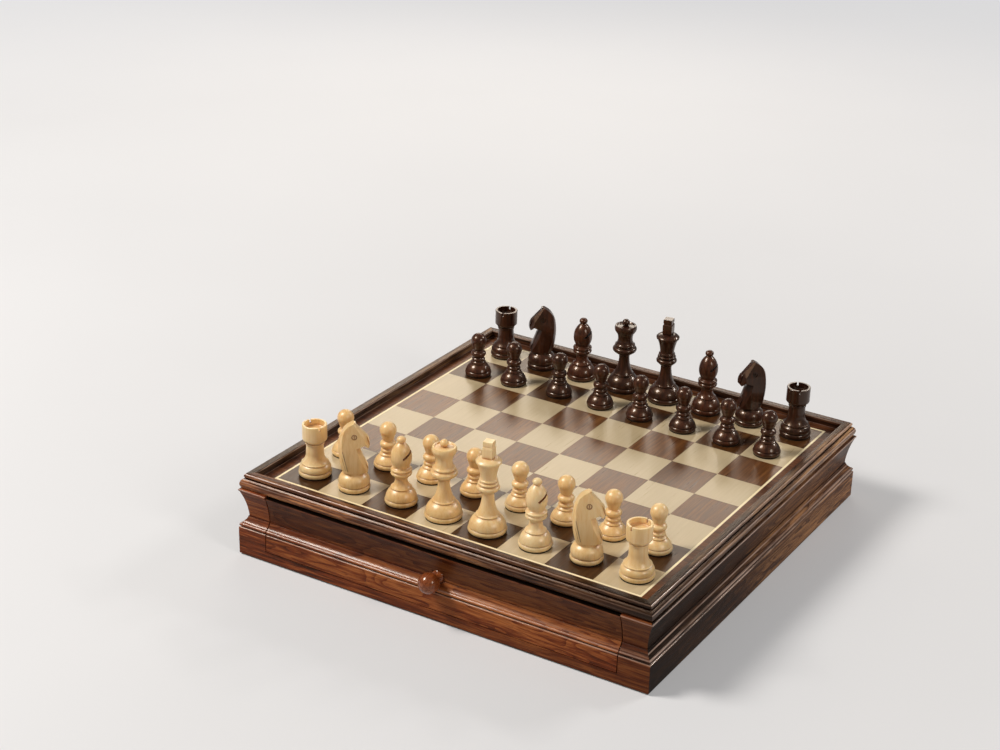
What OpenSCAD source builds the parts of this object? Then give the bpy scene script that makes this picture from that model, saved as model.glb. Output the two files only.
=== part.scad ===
// Square chess case with one drawer and a full set of turned chessmen.
// Millimetres. Origin at the centre of the underside, +Z up, the drawer opens towards -Y,
// the light men stand on the drawer side and file a lies on the left (-X).

/* [Case] */
// Height from the table to the top of the rim
case_h = 73.2; // [71:0.2:86]
// Thickness of the walls at the plinth
wall_t = 18.5; // [16:0.5:21]
// Height of the beaded cap above the walls
cap_h = 12.8; // [12.4:0.2:16]
// Distance from the outside of the plinth to the inside of the rim
rim_inset = 11.3; // [10.5:0.1:13]
// Thickness of the baize under the case
baize_t = 0.8; // [0.5:0.1:2]
// Thickness of the bottom panel of the case
case_floor_t = 3.6; // [3:0.2:5]
// Depth of the grooves that hold the panels
groove_d = 5; // [3:0.5:6]
// Leg of the triangular glue blocks in the corners
block_leg = 9; // [6:0.5:11]

/* [Wall moulding] */
// Height of the flat plinth band above the table
plinth_h = 25.5; // [22:0.5:27]
// Height of the lip above the plinth
lip_h = 3.2; // [2.4:0.1:4]
// How far the lip stands back from the plinth
lip_set_back = 0.4; // [0.1:0.1:1.5]
// Depth of the quirks that part the mouldings
quirk_d = 1.1; // [0.8:0.1:2]
// Height of the quirk between the plinth and the lip
quirk_h = 0.6; // [0.4:0.1:1]
// Height of the slope between the lip and the cove
slope_h = 5.6; // [4:0.2:7]
// Depth of the cove at its foot, from the plinth face
cove_depth = 6.4; // [4:0.2:8]
// Hollow of the cove, from its chord
cove_sag = 1.1; // [0.4:0.1:2]
// Height of the thin fillet that ends the cove
fillet_h = 1; // [0.6:0.1:2]

/* [Cap moulding] */
// Height of the large bead of the cap
big_bead_h = 8; // [7:0.1:8.4]
// How far the large bead stands out from its root
big_bead_out = 3; // [2:0.1:3.6]
// How far the small bead stands out from its root
small_bead_out = 1.6; // [1:0.1:2.2]
// How far the root of the small bead stands back from the root of the large one
small_bead_back = 0.8; // [0.4:0.1:1.4]

/* [Board] */
// Pitch of the squares
square = 42.3; // [38:0.1:48]
// Width of the dark border between the light line and the rim
border_w = 10; // [6:0.5:20]
// Width of the light line let into the edge of the outer squares
inlay_w = 2.1; // [1.5:0.1:5]
// Depth of the playing surface below the rim
recess_d = 6.6; // [4:0.2:7.4]
// Thickness of the veneer
veneer_t = 0.8; // [0.6:0.1:1.5]
// Glue line between two pieces of veneer
veneer_joint = 0.1; // [0.06:0.02:0.3]
// Thickness of the panel under the veneer
panel_t = 3.8; // [3:0.1:4.4]
// Thickness of the ledge of the cap under the panel
ledge_t = 2.4; // [2:0.1:3]
// Width of that ledge, inwards from the rim
ledge_w = 4; // [2:0.5:7]

/* [Drawer] */
// Width of the front left standing at each side of the drawer
stub_w = 27; // [24:0.5:45]
// Height of the rail left below the opening, above the table
rail_h = 9.6; // [8.6:0.2:11]
// Gap at each side of the drawer front
side_gap = 0.8; // [0.4:0.1:1.5]
// Gap below the drawer front
foot_gap = 0.6; // [0.4:0.1:1.2]
// Gap between the drawer front and the top of the walls
head_gap = 2.2; // [1.2:0.1:3]
// Running clearance between the drawer and its runners
run_gap = 0.3; // [0.2:0.05:0.8]
// Distance from the edge of the drawer front to the side of the drawer box
box_inset = 4; // [2:0.5:10]
// Thickness of the sides and back of the drawer
drawer_wall = 8; // [6:0.5:10]
// Height of the sides and back of the drawer
drawer_wall_h = 40; // [30:0.5:42]
// Thickness of the drawer bottom
drawer_floor_t = 3; // [2.4:0.2:4]
// Height of the groove for the drawer bottom above the lower edge of the sides
drawer_floor_up = 3.4; // [2.4:0.2:6]
// Thickness of the felt in the drawer
lining_t = 1; // [0.6:0.1:2]
// Thickness of the divider
divider_t = 6; // [4:0.5:8]
// Height of the divider above the felt
divider_h = 28; // [20:0.5:32]
// Depth of the housings that hold the drawer sides and the divider
housing_d = 3; // [2:0.25:4]
// Space between the back of the drawer and the back of the case
back_gap = 6; // [3:0.5:12]
// Thickness of the runner strips under the drawer
runner_t = 2.6; // [2:0.2:4]
// Height of the guide strips beside the drawer, above the case floor
guide_h = 16; // [10:0.5:30]

/* [Knob] */
// Height of the knob's axis above the table
knob_z = 36.6; // [36:0.1:40]
// Diameter of the ball
knob_d = 17.2; // [14:0.2:20]
// Distance from the seat to the centre of the ball
knob_out = 13; // [12:0.25:16]
// Diameter of the neck
neck_d = 7.6; // [6:0.2:9]
// Diameter of the foot of the knob
knob_foot_d = 11; // [9.5:0.2:12]
// Thickness of the foot of the knob
knob_foot_t = 1.8; // [1.2:0.1:2.6]
// Clearance round the foot in its seat
seat_gap = 0.4; // [0.2:0.1:1]
// Diameter of the screw that holds the knob
screw_d = 3.5; // [3:0.1:4]
// Diameter of the screw head
screw_head_d = 7; // [6:0.2:8]
// Height of the screw head
screw_head_h = 2.2; // [1.8:0.1:3]
// Depth that the screw bites into the knob
screw_bite = 12; // [8:0.5:14]

/* [Chessmen] */
// Height of a king
king_h = 78; // [72:0.2:84]
// Diameter of a king's foot
king_d = 31; // [28:0.2:34]
// Height of a queen
queen_h = 67.6; // [62:0.2:74]
// Diameter of a queen's foot
queen_d = 30.6; // [28:0.2:34]
// Height of a bishop
bishop_h = 58.4; // [54:0.2:62]
// Diameter of a bishop's foot
bishop_d = 26.8; // [24:0.2:30]
// Height of a knight
knight_h = 59.2; // [55:0.2:63]
// Diameter of a knight's foot
knight_d = 26.2; // [25:0.2:29]
// Half the thickness of a knight's head at the neck
knight_t = 8.8; // [8:0.2:9.4]
// Height of a rook
rook_h = 45.6; // [42:0.2:50]
// Diameter of a rook's foot
rook_d = 27.4; // [25:0.2:30]
// Wall of a rook's battlement
rook_wall = 1.8; // [1.4:0.1:2.4]
// Width of the saw cuts in rooks and bishops
kerf = 1.5; // [1:0.1:2]
// Height of a pawn
pawn_h = 40.2; // [38:0.2:45]
// Diameter of a pawn's foot
pawn_d = 24; // [21:0.2:26]
// Height of the bead round every foot
foot_bead_h = 3.8; // [3:0.1:4.6]
// Thickness of the felt under every man
felt_t = 1; // [0.6:0.1:1.6]
// How far the felt stands back from the foot
felt_inset = 0.7; // [0.4:0.1:1.5]
// Glue line between the felt and the wood
glue_line = 0.05; // [0.03:0.01:0.1]
// How far the light pawns stand forward of the middle of their squares
light_pawn_forward = 6.5; // [0:0.5:8]
// How far the dark pawns stand forward of the middle of their squares
dark_pawn_forward = 4; // [0:0.5:8]

/* [Hidden] */
$fn = 64;
ROUND_FN = 96; // turned pieces
OVER = 1; // how far a cutter runs past the wood

// --- case levels, from the table up
rim_in = 4 * square + border_w; // inner face of the rim
half_w = rim_in + rim_inset; // the plinth's face
case_w = 2 * half_w;
wall_top = case_h - cap_h;
inner = half_w - wall_t; // inner face of the walls
lip_top = plinth_h + lip_h;
ledge_z = lip_top + slope_h; // foot of the cove
board_z = case_h - recess_d; // playing surface
panel_top = board_z - veneer_t;
panel_z = panel_top - panel_t;
panel_half = rim_in + groove_d;
floor_z = baize_t + 2.6; // underside of the case floor
floor_top = floor_z + case_floor_t;
lining_inset = 0.4;

// --- drawer levels and widths
open_half = half_w - stub_w;
front_half = open_half - side_gap;
front_z = rail_h + foot_gap;
front_top = wall_top - head_gap;
box_half = front_half - box_inset;
box_inner = box_half - drawer_wall;
drawer_z = floor_top + runner_t + run_gap; // lower edge of the drawer sides
drawer_floor_z = drawer_z + drawer_floor_up;
lining_z = drawer_floor_z + drawer_floor_t;
box_back = inner - back_gap; // rear face of the drawer back
divider_z = lining_z + lining_t;
drawer_top = drawer_z + drawer_wall_h;
ledge_under = panel_z - ledge_t;
ledge_in = rim_in - ledge_w;
ledge_out = rim_in + 1;

// --- knob
seat_y = half_w - cove_depth - 0.5; // the flat seat, a little deeper than the cove
knob_seat_d = knob_foot_d + 2 * seat_gap;

// --- board
field_half = 4 * square - inlay_w; // inner edge of the light line
outer_middle = (3 * square + field_half) / 2; // middle of the trimmed outer squares
files = ["a", "b", "c", "d", "e", "f", "g", "h"];
court = ["rook", "knight", "bishop", "queen", "king", "bishop", "knight", "rook"];
head_z = 17; // level at which a knight's head stands on its foot
side_of = ["light", "dark"];
back_row = ["1", "8"];
pawn_row = ["2", "7"];
pawn_forward = [light_pawn_forward, dark_pawn_forward];
// Turn of each court man about its own axis, seen from above, degrees from +X
court_turn = [[150, 37, 36, 0, 10, 33, 29, 78], [102, 217, 30, 0, 10, 30, 228, 120]];
// How far men stand off their places, right and up the board
court_shift = [[[0.5, 2.7], [0, 0], [2.6, 1.5], [1.2, 0.6], [0, 0], [1, 0.3], [1.9, 4.2], [5, 2.9]],
    [[0.3, 2.8], [0, 0], [0, 0], [0.7, 0.4], [0.7, 0.4], [0, 0], [0, 0], [2.1, 1.2]]];
pawn_shift = [[[-1, -0.6], [0, 0], [0, 0], [0, 0], [0, 0], [0, 0], [0, 0], [-1.4, -0.8]],
    [[2.6, -2.7], [-1.9, -1.1], [2.1, 1.2], [2.1, 1.2], [0, 0], [0, 0], [0, 0], [-2.4, -1.4]]];

light_wood = [0.88, 0.76, 0.55];
dark_wood = [0.18, 0.11, 0.09];
walnut = [0.38, 0.24, 0.17];
maple = [0.86, 0.78, 0.62];

CASE_NODES = ["cap_front", "cap_back", "cap_left", "cap_right", "front_frame", "side_left",
    "side_right", "side_back", "corner_blocks", "bottom_panel", "base_baize", "runner_left",
    "runner_right", "board_panel", "board_border", "inlay_line", "light_squares", "dark_squares"];
DRAWER_NODES = ["drawer_front", "drawer_side_left", "drawer_side_right", "drawer_back",
    "drawer_bottom", "drawer_lining", "drawer_divider", "knob", "knob_screw"];
MEN_NODES = [for (s = [0:1], i = [0:15]) i < 8 ? court_name(s, i) : pawn_name(s, i - 8)];

function court_name(s, i) = str(side_of[s], "_", court[i], "_", files[i], back_row[s]);
function pawn_name(s, i) = str(side_of[s], "_pawn_", files[i], pawn_row[s]);

// ---------------------------------------------------------------- outlines

// Points from a to b along an arc that stands sag off the chord, outwards when it runs upwards
function bow(a, b, sag, n = 6) =
    let (d = b - a, c = norm(d), u = d / c, out = [u[1], -u[0]] * sign(sag),
         half = 2 * atan(2 * abs(sag) / c), r = c / (2 * sin(half)),
         ctr = (a + b) / 2 - out * r * cos(half))
    [for (i = [0:n]) let (t = half * (2 * i / n - 1)) ctr + r * (out * cos(t) + u * sin(t))];

// Points of an oval on the axis at height z, from angle a0 to a1
function oval(z, rr, rz, a0, a1, n = 10) =
    [for (i = [0:n]) let (t = a0 + (a1 - a0) * i / n) [rr * cos(t), z + rz * sin(t)]];

// Middle of a file or rank of squares; the outer ones are trimmed by the light line
function square_middle(i) =
    let (k = i - 3.5) abs(k) > 3 ? sign(k) * outer_middle : k * square;

// Edge of a square towards the light line
function square_edge(i) = abs(i - 4) == 4 ? sign(i - 4) * field_half : (i - 4) * square;

// Section of a wall from the table up: distance from the middle of the case, height
function wall_section() =
    let (p = half_w, lip = half_w - lip_set_back, foot = half_w - cove_depth, step = 0.8,
         cove_top = wall_top - fillet_h - 1, arris = half_w - 0.9)
    concat([[inner, baize_t], [p - 0.6, baize_t], [p, baize_t + 0.6]],
        bow([p, plinth_h - 1.1], [p - 1.1, plinth_h], 0.32, 4),
        [[lip - 0.8 - quirk_d, plinth_h], [lip - 0.8 - quirk_d, plinth_h + quirk_h]],
        bow([lip - 0.8, plinth_h + quirk_h], [lip - 0.8, lip_top], 0.8, 7),
        [[lip - 0.8 - step, lip_top + 0.1]],
        bow([lip - 0.8 - step, lip_top + 0.4], [foot + step, ledge_z - step], -0.35, 4),
        [[foot + step, ledge_z]],
        bow([foot, ledge_z], [arris, cove_top], -cove_sag, 8),
        [[half_w - 0.3, cove_top], [half_w - 0.3, wall_top - 1], [half_w - 1, wall_top - 0.5],
         [half_w - 2.4, wall_top], [inner, wall_top]]);

// Section of a cap member, with the groove for the panel and a ledge under it
function cap_section() =
    let (root = half_w - 4.2, small_root = root - small_bead_back,
         bead_z = wall_top + 0.4, small_z = bead_z + big_bead_h)
    concat([[root + 1.6, wall_top]],
        bow([root + 1.6, bead_z], [root + 0.6, small_z], big_bead_out - 1.1, 8),
        [[small_root - quirk_d / 2, small_z + 0.3]],
        bow([small_root, small_z + 0.6], [small_root - 1, case_h], small_bead_out, 7),
        bow([rim_in + 0.6, case_h], [rim_in, case_h - 0.6], 0.15, 3),
        [[rim_in, panel_top], [panel_half, panel_top], [panel_half, panel_z],
         [ledge_in, panel_z], [ledge_in, ledge_under], [ledge_out, ledge_under],
         [ledge_out, wall_top]]);

// Section of the foot that every man stands on: bead, quirk and dome
function dome_section(r, dome_r, dome_z, sag) =
    let (z0 = felt_t + glue_line, bead_top = z0 + foot_bead_h)
    concat([[0, z0]],
        bow([r - 0.7, z0], [r - 0.9, bead_top], 0.8, 7),
        [[r - 1.6, bead_top + 0.2]],
        bow([r - 0.7, bead_top + 0.6], [dome_r, dome_z], sag, 8));

// The same foot with the ring that tops it on turned men
function foot_section(r, dome_r, dome_z, sag) =
    concat(dome_section(r, dome_r, dome_z, sag),
        [[dome_r + 0.5, dome_z + 0.2], [dome_r + 0.5, dome_z + 1], [dome_r - 0.2, dome_z + 1.3]]);

function pawn_section(r, h) =
    let (head_r = 0.174 * h, ball_z = h - head_r, k = h / 40.2)
    concat(foot_section(r, 0.54 * r, 11.6 * k, 0.6),
        bow([0.43 * r, 14 * k], [0.43 * r, 17 * k], 0.9),
        [[0.4 * r, 17.8 * k]],
        bow([0.49 * r, 18.8 * k], [0.43 * r, 23.4 * k], 1.2),
        [[0.36 * r, 23.9 * k]],
        bow([0.36 * r, 24.4 * k], [head_r * cos(32), ball_z - head_r * sin(32)], 0.2, 3),
        oval(ball_z, head_r, head_r, -32, 90, 12));

function rook_section(r, h) =
    let (k = h / 45.6, head_r = 0.74 * r, cup_r = head_r - rook_wall)
    concat(foot_section(r, 0.78 * r, 10.8 * k, 0.9),
        bow([0.75 * r, 12.4 * k], [0.54 * r, 21 * k], -0.9, 6),
        [[0.51 * r, 27.6 * k], [0.555 * r, 28 * k], [0.555 * r, 29.1 * k], [0.52 * r, 29.4 * k],
         [head_r - 0.2, 32.4 * k], [head_r, 33 * k], [head_r, h - 0.3], [head_r - 0.3, h],
         [cup_r, h], [cup_r, h - 5 * k]],
        bow([cup_r - 1, h - 5.6 * k], [0, h - 6.4 * k], 0.3, 3));

function bishop_section(r, h) =
    let (k = h / 58.4)
    concat(foot_section(r, 0.6 * r, 13.6 * k, 1),
        bow([0.57 * r, 15.2 * k], [0.385 * r, 22.8 * k], -1, 7),
        bow([0.59 * r, 25.6 * k], [0.585 * r, 28 * k], 0.7),
        bow([0.59 * r, 28.8 * k], [0.545 * r, 31.2 * k], 0.9),
        [[0.475 * r, 31.9 * k]],
        bow([0.475 * r, 33.2 * k], [0.625 * r, 41.4 * k], 0.7, 7),
        bow([0.625 * r, 41.4 * k], [0.19 * r, 53.2 * k], 1.5, 8),
        oval(h - 2.9 * k, 0.28 * r, 2.9 * k, -47, 90, 9));

function queen_section(r, h) =
    let (k = h / 67.6, rim_r = 0.64 * r)
    concat(foot_section(r, 0.58 * r, 14.6 * k, 1.3),
        bow([0.55 * r, 16.2 * k], [0.31 * r, 33.4 * k], -1.2, 8),
        [[0.6 * r, 36.6 * k]],
        bow([0.62 * r, 37 * k], [0.6 * r, 41.4 * k], 1.5, 7),
        [[0.555 * r, 41.8 * k]],
        bow([0.56 * r, 42.1 * k], [0.53 * r, 44.3 * k], 0.8),
        bow([0.5 * r, 44.8 * k], [0.53 * r, 55.2 * k], -1.3, 8),
        [[0.575 * r, 55.6 * k]],
        bow([0.585 * r, 56 * k], [rim_r, 60.6 * k], 0.5, 4),
        [[rim_r - 0.5, 61.7 * k], [rim_r - 1.8, 61.9 * k], [rim_r - 2.5, 61 * k]],
        oval(h - 3.4 * k, 3.4 * k, 3.4 * k, -50, 90, 10));

function king_section(r, h) =
    let (k = h / 78, rim_r = 0.66 * r)
    concat(foot_section(r, 0.58 * r, 14.6 * k, 1.3),
        bow([0.55 * r, 16.2 * k], [0.31 * r, 33.6 * k], -1.1, 8),
        [[0.5 * r, 36.4 * k]],
        bow([0.52 * r, 36.8 * k], [0.51 * r, 40.6 * k], 1.2, 7),
        [[0.46 * r, 41 * k]],
        bow([0.48 * r, 41.3 * k], [0.47 * r, 43.4 * k], 0.8),
        [[0.42 * r, 43.8 * k]],
        bow([0.43 * r, 44.1 * k], [0.42 * r, 46 * k], 0.7, 4),
        bow([0.4 * r, 46.8 * k], [0.59 * r, 59.2 * k], -0.5, 6),
        [[rim_r - 0.1, 59.8 * k], [rim_r, 61.2 * k]],
        bow([rim_r - 0.5, 61.8 * k], [0.3 * r, 64 * k], 0.5, 4),
        [[0, 64 * k]]);

// Side view of a knight's head, snout towards +X, from the back of the neck round to the chest
function knight_outline(k) =
    concat([[-9.2, head_z * k]],
        bow([-9.4, 18 * k], [-12.1, 33 * k], -0.5, 5),
        bow([-12.1, 33 * k], [-10.6, 48.6 * k], -0.9, 6),
        bow([-10.6, 48.6 * k], [0.6, 59.2 * k], -1.5, 7),
        [[1.5, 58.9 * k], [2, 57 * k]],
        bow([2.4, 56.2 * k], [9.6, 48.8 * k], -0.15, 4),
        bow([9.6, 48.8 * k], [12.6, 39.6 * k], -0.9, 6),
        [[11.6, 38 * k], [8.6, 40.4 * k], [6.8, 40.2 * k], [4.2, 38 * k]],
        bow([4.8, 36.4 * k], [11.3, 20.8 * k], 0.4, 4),
        [[11.3, 19 * k], [10.8, head_z * k]]);

// Section of the round bar that the back of the head is carved from
function neck_bar(k) =
    concat([[0, 10 * k], [9.4, 10 * k]],
        bow([9.6, 17 * k], [12.2, 33 * k], 0.5, 5),
        bow([12.2, 33 * k], [10.7, 49 * k], 0.6, 5),
        [[7.6, 56 * k], [4.6, 60 * k], [0, 60 * k]]);

// A knight's head seen from above: flat cheeks that round off towards the muzzle and the chest
function head_plan() =
    concat([[-14, -9]], [for (p = oval(0, 14.6, 9, -90, 90, 18)) p - [1, 0]], [[-14, 9]]);

// ---------------------------------------------------------------- helpers

// A moulded member along the -Y side of the case, its ends mitred
module mitred_member(section, low, high) {
    intersection() {
        rotate([90, 0, -90])
            translate([0, 0, -half_w - OVER])
                linear_extrude(case_w + 2 * OVER) polygon(section);
        translate([0, 0, low])
            linear_extrude(high - low)
                polygon([[0, 0], [-half_w - OVER, -half_w - OVER], [half_w + OVER, -half_w - OVER]]);
    }
}

module wall_member() {
    difference() {
        mitred_member(wall_section(), 0, case_h);
        floor_cutter();
        ledge_cutter();
    }
}

// Room for the ledge of the cap inside the top of the walls
module ledge_cutter() {
    translate([0, 0, ledge_under])
        linear_extrude(case_h) square(2 * ledge_out, center = true);
}

// Groove for the floor of the case
module floor_cutter() {
    translate([0, 0, floor_z])
        linear_extrude(case_floor_t) square(2 * (inner + groove_d), center = true);
}

module cap_member() {
    mitred_member(cap_section(), 0, case_h);
}

// A strip of veneer along the -Y side, from the distance a to b, its ends mitred
module veneer_strip(a, b, joint) {
    cut = joint / 2;
    linear_extrude(veneer_t)
        polygon([[-a + cut, -a], [-b + cut, -b], [b - cut, -b], [a - cut, -a]]);
}

module squares(parity) {
    cut = veneer_joint / 2;
    translate([0, 0, panel_top])
        for (i = [0:7], j = [0:7])
            if ((i + j) % 2 == parity)
                translate([square_edge(i) + cut, square_edge(j) + cut, 0])
                    cube([square_edge(i + 1) - square_edge(i) - veneer_joint,
                        square_edge(j + 1) - square_edge(j) - veneer_joint, veneer_t]);
}

// The wall moulding from -half to half, between the heights low and high
module front_block(half, low, high) {
    intersection() {
        mitred_member(wall_section(), 0, case_h);
        translate([-half, -half_w - OVER, low])
            cube([2 * half, wall_t + 2 * OVER, high - low]);
    }
}

module turned(section) {
    rotate_extrude($fn = ROUND_FN) polygon(section);
}

module felt(r) {
    cylinder(h = felt_t, r = r - felt_inset, $fn = ROUND_FN);
}

// ---------------------------------------------------------------- case

module cap_front() {
    color(walnut) cap_member();
}

module cap_right() {
    color(walnut) rotate(90) cap_member();
}

module cap_back() {
    color(walnut) rotate(180) cap_member();
}

module cap_left() {
    color(walnut) rotate(270) cap_member();
}

// The front of the case after the drawer front is cut out: two stubs and the rail below
module front_frame() {
    color(walnut)
        difference() {
            wall_member();
            translate([-open_half, -half_w - OVER, rail_h])
                cube([2 * open_half, wall_t + 2 * OVER, case_h]);
        }
}

module side_right() {
    color(walnut) rotate(90) wall_member();
}

module side_back() {
    color(walnut) rotate(180) wall_member();
}

module side_left() {
    color(walnut) rotate(270) wall_member();
}

// Triangular glue blocks that stiffen the mitres
module corner_blocks() {
    color(maple)
        for (a = [0:90:270])
            rotate(a)
                translate([-inner, -inner, floor_top])
                    linear_extrude(ledge_under - floor_top)
                        polygon([[0, 0], [block_leg, 0], [0, block_leg]]);
}

module bottom_panel() {
    color([0.72, 0.56, 0.38])
        translate([0, 0, floor_z])
            linear_extrude(case_floor_t) square(2 * (inner + groove_d), center = true);
}

// Baize over the whole underside
module base_baize() {
    color([0.12, 0.28, 0.18])
        linear_extrude(baize_t) square(case_w - 2 * 0.8, center = true);
}

// A runner strip under one side of the drawer with the guide strip beside it
module runner() {
    guide_x = box_half + run_gap;
    half_length = inner - block_leg;
    color(maple)
        translate([0, half_length, floor_top])
            rotate([90, 0, 0])
                linear_extrude(2 * half_length)
                    polygon([[box_inner, 0], [inner, 0], [inner, guide_h], [guide_x, guide_h],
                        [guide_x, runner_t], [box_inner, runner_t]]);
}

module runner_right() {
    runner();
}

module runner_left() {
    mirror([1, 0, 0]) runner();
}

module board_panel() {
    color([0.62, 0.46, 0.3])
        translate([0, 0, panel_z])
            linear_extrude(panel_t) square(2 * panel_half, center = true);
}

module board_border() {
    color(walnut)
        translate([0, 0, panel_top])
            for (a = [0:90:270])
                rotate(a) veneer_strip(field_half + inlay_w + veneer_joint / 2, rim_in, veneer_joint);
}

module inlay_line() {
    color(maple)
        translate([0, 0, panel_top])
            for (a = [0:90:270])
                rotate(a)
                    veneer_strip(field_half + veneer_joint / 2,
                        field_half + inlay_w - veneer_joint / 2, veneer_joint);
}

module light_squares() {
    color(maple) squares(1);
}

module dark_squares() {
    color(walnut) squares(0);
}

// ---------------------------------------------------------------- drawer

module drawer_side_shape() {
    translate([box_inner, -inner - housing_d, drawer_z])
        cube([drawer_wall, inner + housing_d + box_back, drawer_wall_h]);
}

module drawer_floor_cutter() {
    bite = drawer_wall / 2;
    translate([-box_half + bite, -inner - housing_d, drawer_floor_z])
        cube([2 * (box_half - bite), inner + housing_d + box_back + OVER, drawer_floor_t]);
}

// The cut-out of the moulded front, housed for the sides, grooved for the bottom
module drawer_front() {
    color(walnut)
        difference() {
            front_block(front_half, front_z, front_top);
            drawer_side_shape();
            mirror([1, 0, 0]) drawer_side_shape();
            drawer_floor_cutter();
            translate([0, -seat_y, knob_z])
                rotate([90, 0, 0]) cylinder(h = wall_t, d = knob_seat_d);
            translate([0, -inner + OVER, knob_z])
                rotate([90, 0, 0]) cylinder(h = wall_t + OVER, d = screw_d);
            translate([0, -inner + OVER, knob_z])
                rotate([90, 0, 0]) cylinder(h = screw_head_h + OVER, d = screw_head_d);
        }
}

module drawer_side_right() {
    color(maple)
        difference() {
            drawer_side_shape();
            drawer_floor_cutter();
            divider_shape();
        }
}

module drawer_side_left() {
    mirror([1, 0, 0]) drawer_side_right();
}

module drawer_back() {
    color(maple)
        translate([-box_inner, box_back - drawer_wall, lining_z])
            cube([2 * box_inner, drawer_wall, drawer_top - lining_z]);
}

module drawer_bottom() {
    bite = drawer_wall / 2;
    color([0.72, 0.56, 0.38])
        translate([-box_half + bite, -inner - housing_d, drawer_floor_z])
            cube([2 * (box_half - bite), inner + housing_d + box_back, drawer_floor_t]);
}

module drawer_lining() {
    half = box_inner - lining_inset;
    color([0.12, 0.28, 0.18])
        translate([-half, -inner + lining_inset, lining_z])
            cube([2 * half, inner + box_back - drawer_wall - 2 * lining_inset, lining_t]);
}

// The divider runs across the drawer, behind the screw of the knob
module divider_shape() {
    middle = (box_back - drawer_wall - inner) / 2;
    translate([-box_inner - housing_d, middle - divider_t / 2, divider_z])
        cube([2 * (box_inner + housing_d), divider_t, divider_h]);
}

module drawer_divider() {
    color(maple) divider_shape();
}

// Turned knob, its foot in a round seat in the moulding
module knob() {
    ball_r = knob_d / 2;
    neck_angle = asin(neck_d / knob_d) - 90; // where the ball meets the neck
    first_step = 2;
    color([0.5, 0.25, 0.14])
        translate([0, -seat_y, knob_z])
            rotate([90, 0, 0])
                difference() {
                    turned(concat([[0, 0], [knob_foot_d / 2, 0]],
                        bow([knob_foot_d / 2, 0.3], [knob_foot_d / 2 - 0.6, knob_foot_t], 0.3, 4),
                        bow([neck_d / 2, knob_foot_t + 0.6],
                            [neck_d / 2, knob_out + ball_r * sin(neck_angle)], -0.3, 4),
                        oval(knob_out, ball_r, ball_r, neck_angle + first_step, 90, 16)));
                    cylinder(h = screw_bite, d = screw_d - 0.6);
                }
}

module knob_screw() {
    slot_w = 1.1;
    color("silver")
        translate([0, -inner, knob_z])
            rotate([90, 0, 0])
                difference() {
                    union() {
                        cylinder(h = screw_head_h, d1 = screw_head_d - 1, d2 = screw_head_d - 0.4);
                        cylinder(h = seat_y - inner, d = screw_d - 0.1);
                        cylinder(h = seat_y - inner + screw_bite - 0.4, d = screw_d - 0.7);
                    }
                    for (a = [0, 90])
                        rotate(a) cube([0.6 * screw_head_d, slot_w, slot_w * 2], center = true);
                }
}

// ---------------------------------------------------------------- chessmen

module pawn() {
    turned(pawn_section(pawn_d / 2, pawn_h));
    felt(pawn_d / 2);
}

// The battlement is parted by one saw cut across the cup
module rook() {
    r = rook_d / 2;
    cut_d = 3.2 * rook_h / 45.6;
    difference() {
        turned(rook_section(r, rook_h));
        translate([-r, -kerf / 2, rook_h - cut_d]) cube([2 * r, kerf, cut_d + OVER]);
    }
    felt(r);
}

// A slanting saw cut opens the mitre on one side
module bishop() {
    r = bishop_d / 2;
    difference() {
        turned(bishop_section(r, bishop_h));
        translate([0.12 * r, -r, 0.695 * bishop_h])
            rotate([0, -37, 0]) cube([2 * r, 2 * r, 1.2 * kerf]);
    }
    felt(r);
}

module queen() {
    turned(queen_section(queen_d / 2, queen_h));
    felt(queen_d / 2);
}

// The finial is a thick cross with notched arms
module king() {
    k = king_h / 78;
    r = king_d / 2;
    union() {
        turned(king_section(r, king_h));
        cross_finial(62.6 * k, king_h, 0.27 * king_d, 0.27 * king_d);
    }
    felt(r);
}

module cross_finial(low, high, w, d) {
    h = high - low;
    outline = [[-0.4, 0], [-0.5, 0.16], [-0.5, 0.64], [-0.43, 0.7], [-0.43, 0.75], [-0.47, 0.81],
        [-0.45, 1], [0.45, 1], [0.47, 0.81], [0.43, 0.75], [0.43, 0.7], [0.5, 0.64], [0.5, 0.16],
        [0.4, 0]];
    intersection() {
        translate([0, d / 2, low])
            rotate([90, 0, 0]) linear_extrude(d) polygon([for (p = outline) [p[0] * w, p[1] * h]]);
        translate([-w / 2, 0, low])
            rotate([90, 0, 90]) linear_extrude(w) polygon([for (p = outline) [p[0] * d, p[1] * h]]);
    }
}

module knight() {
    k = knight_h / 59.2;
    r = knight_d / 2;
    neck_r = 0.66 * r;
    difference() {
        union() {
            turned(concat(dome_section(r, 0.7 * r, 14.4 * k, 1.5),
                [[neck_r, 15 * k], [neck_r, (head_z + 1) * k], [0, (head_z + 1) * k]]));
            knight_head(k);
        }
        for (side = [-1, 1]) {
            knight_eye(k, side);
            mane_cuts(k, side);
        }
    }
    felt(r);
}

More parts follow.
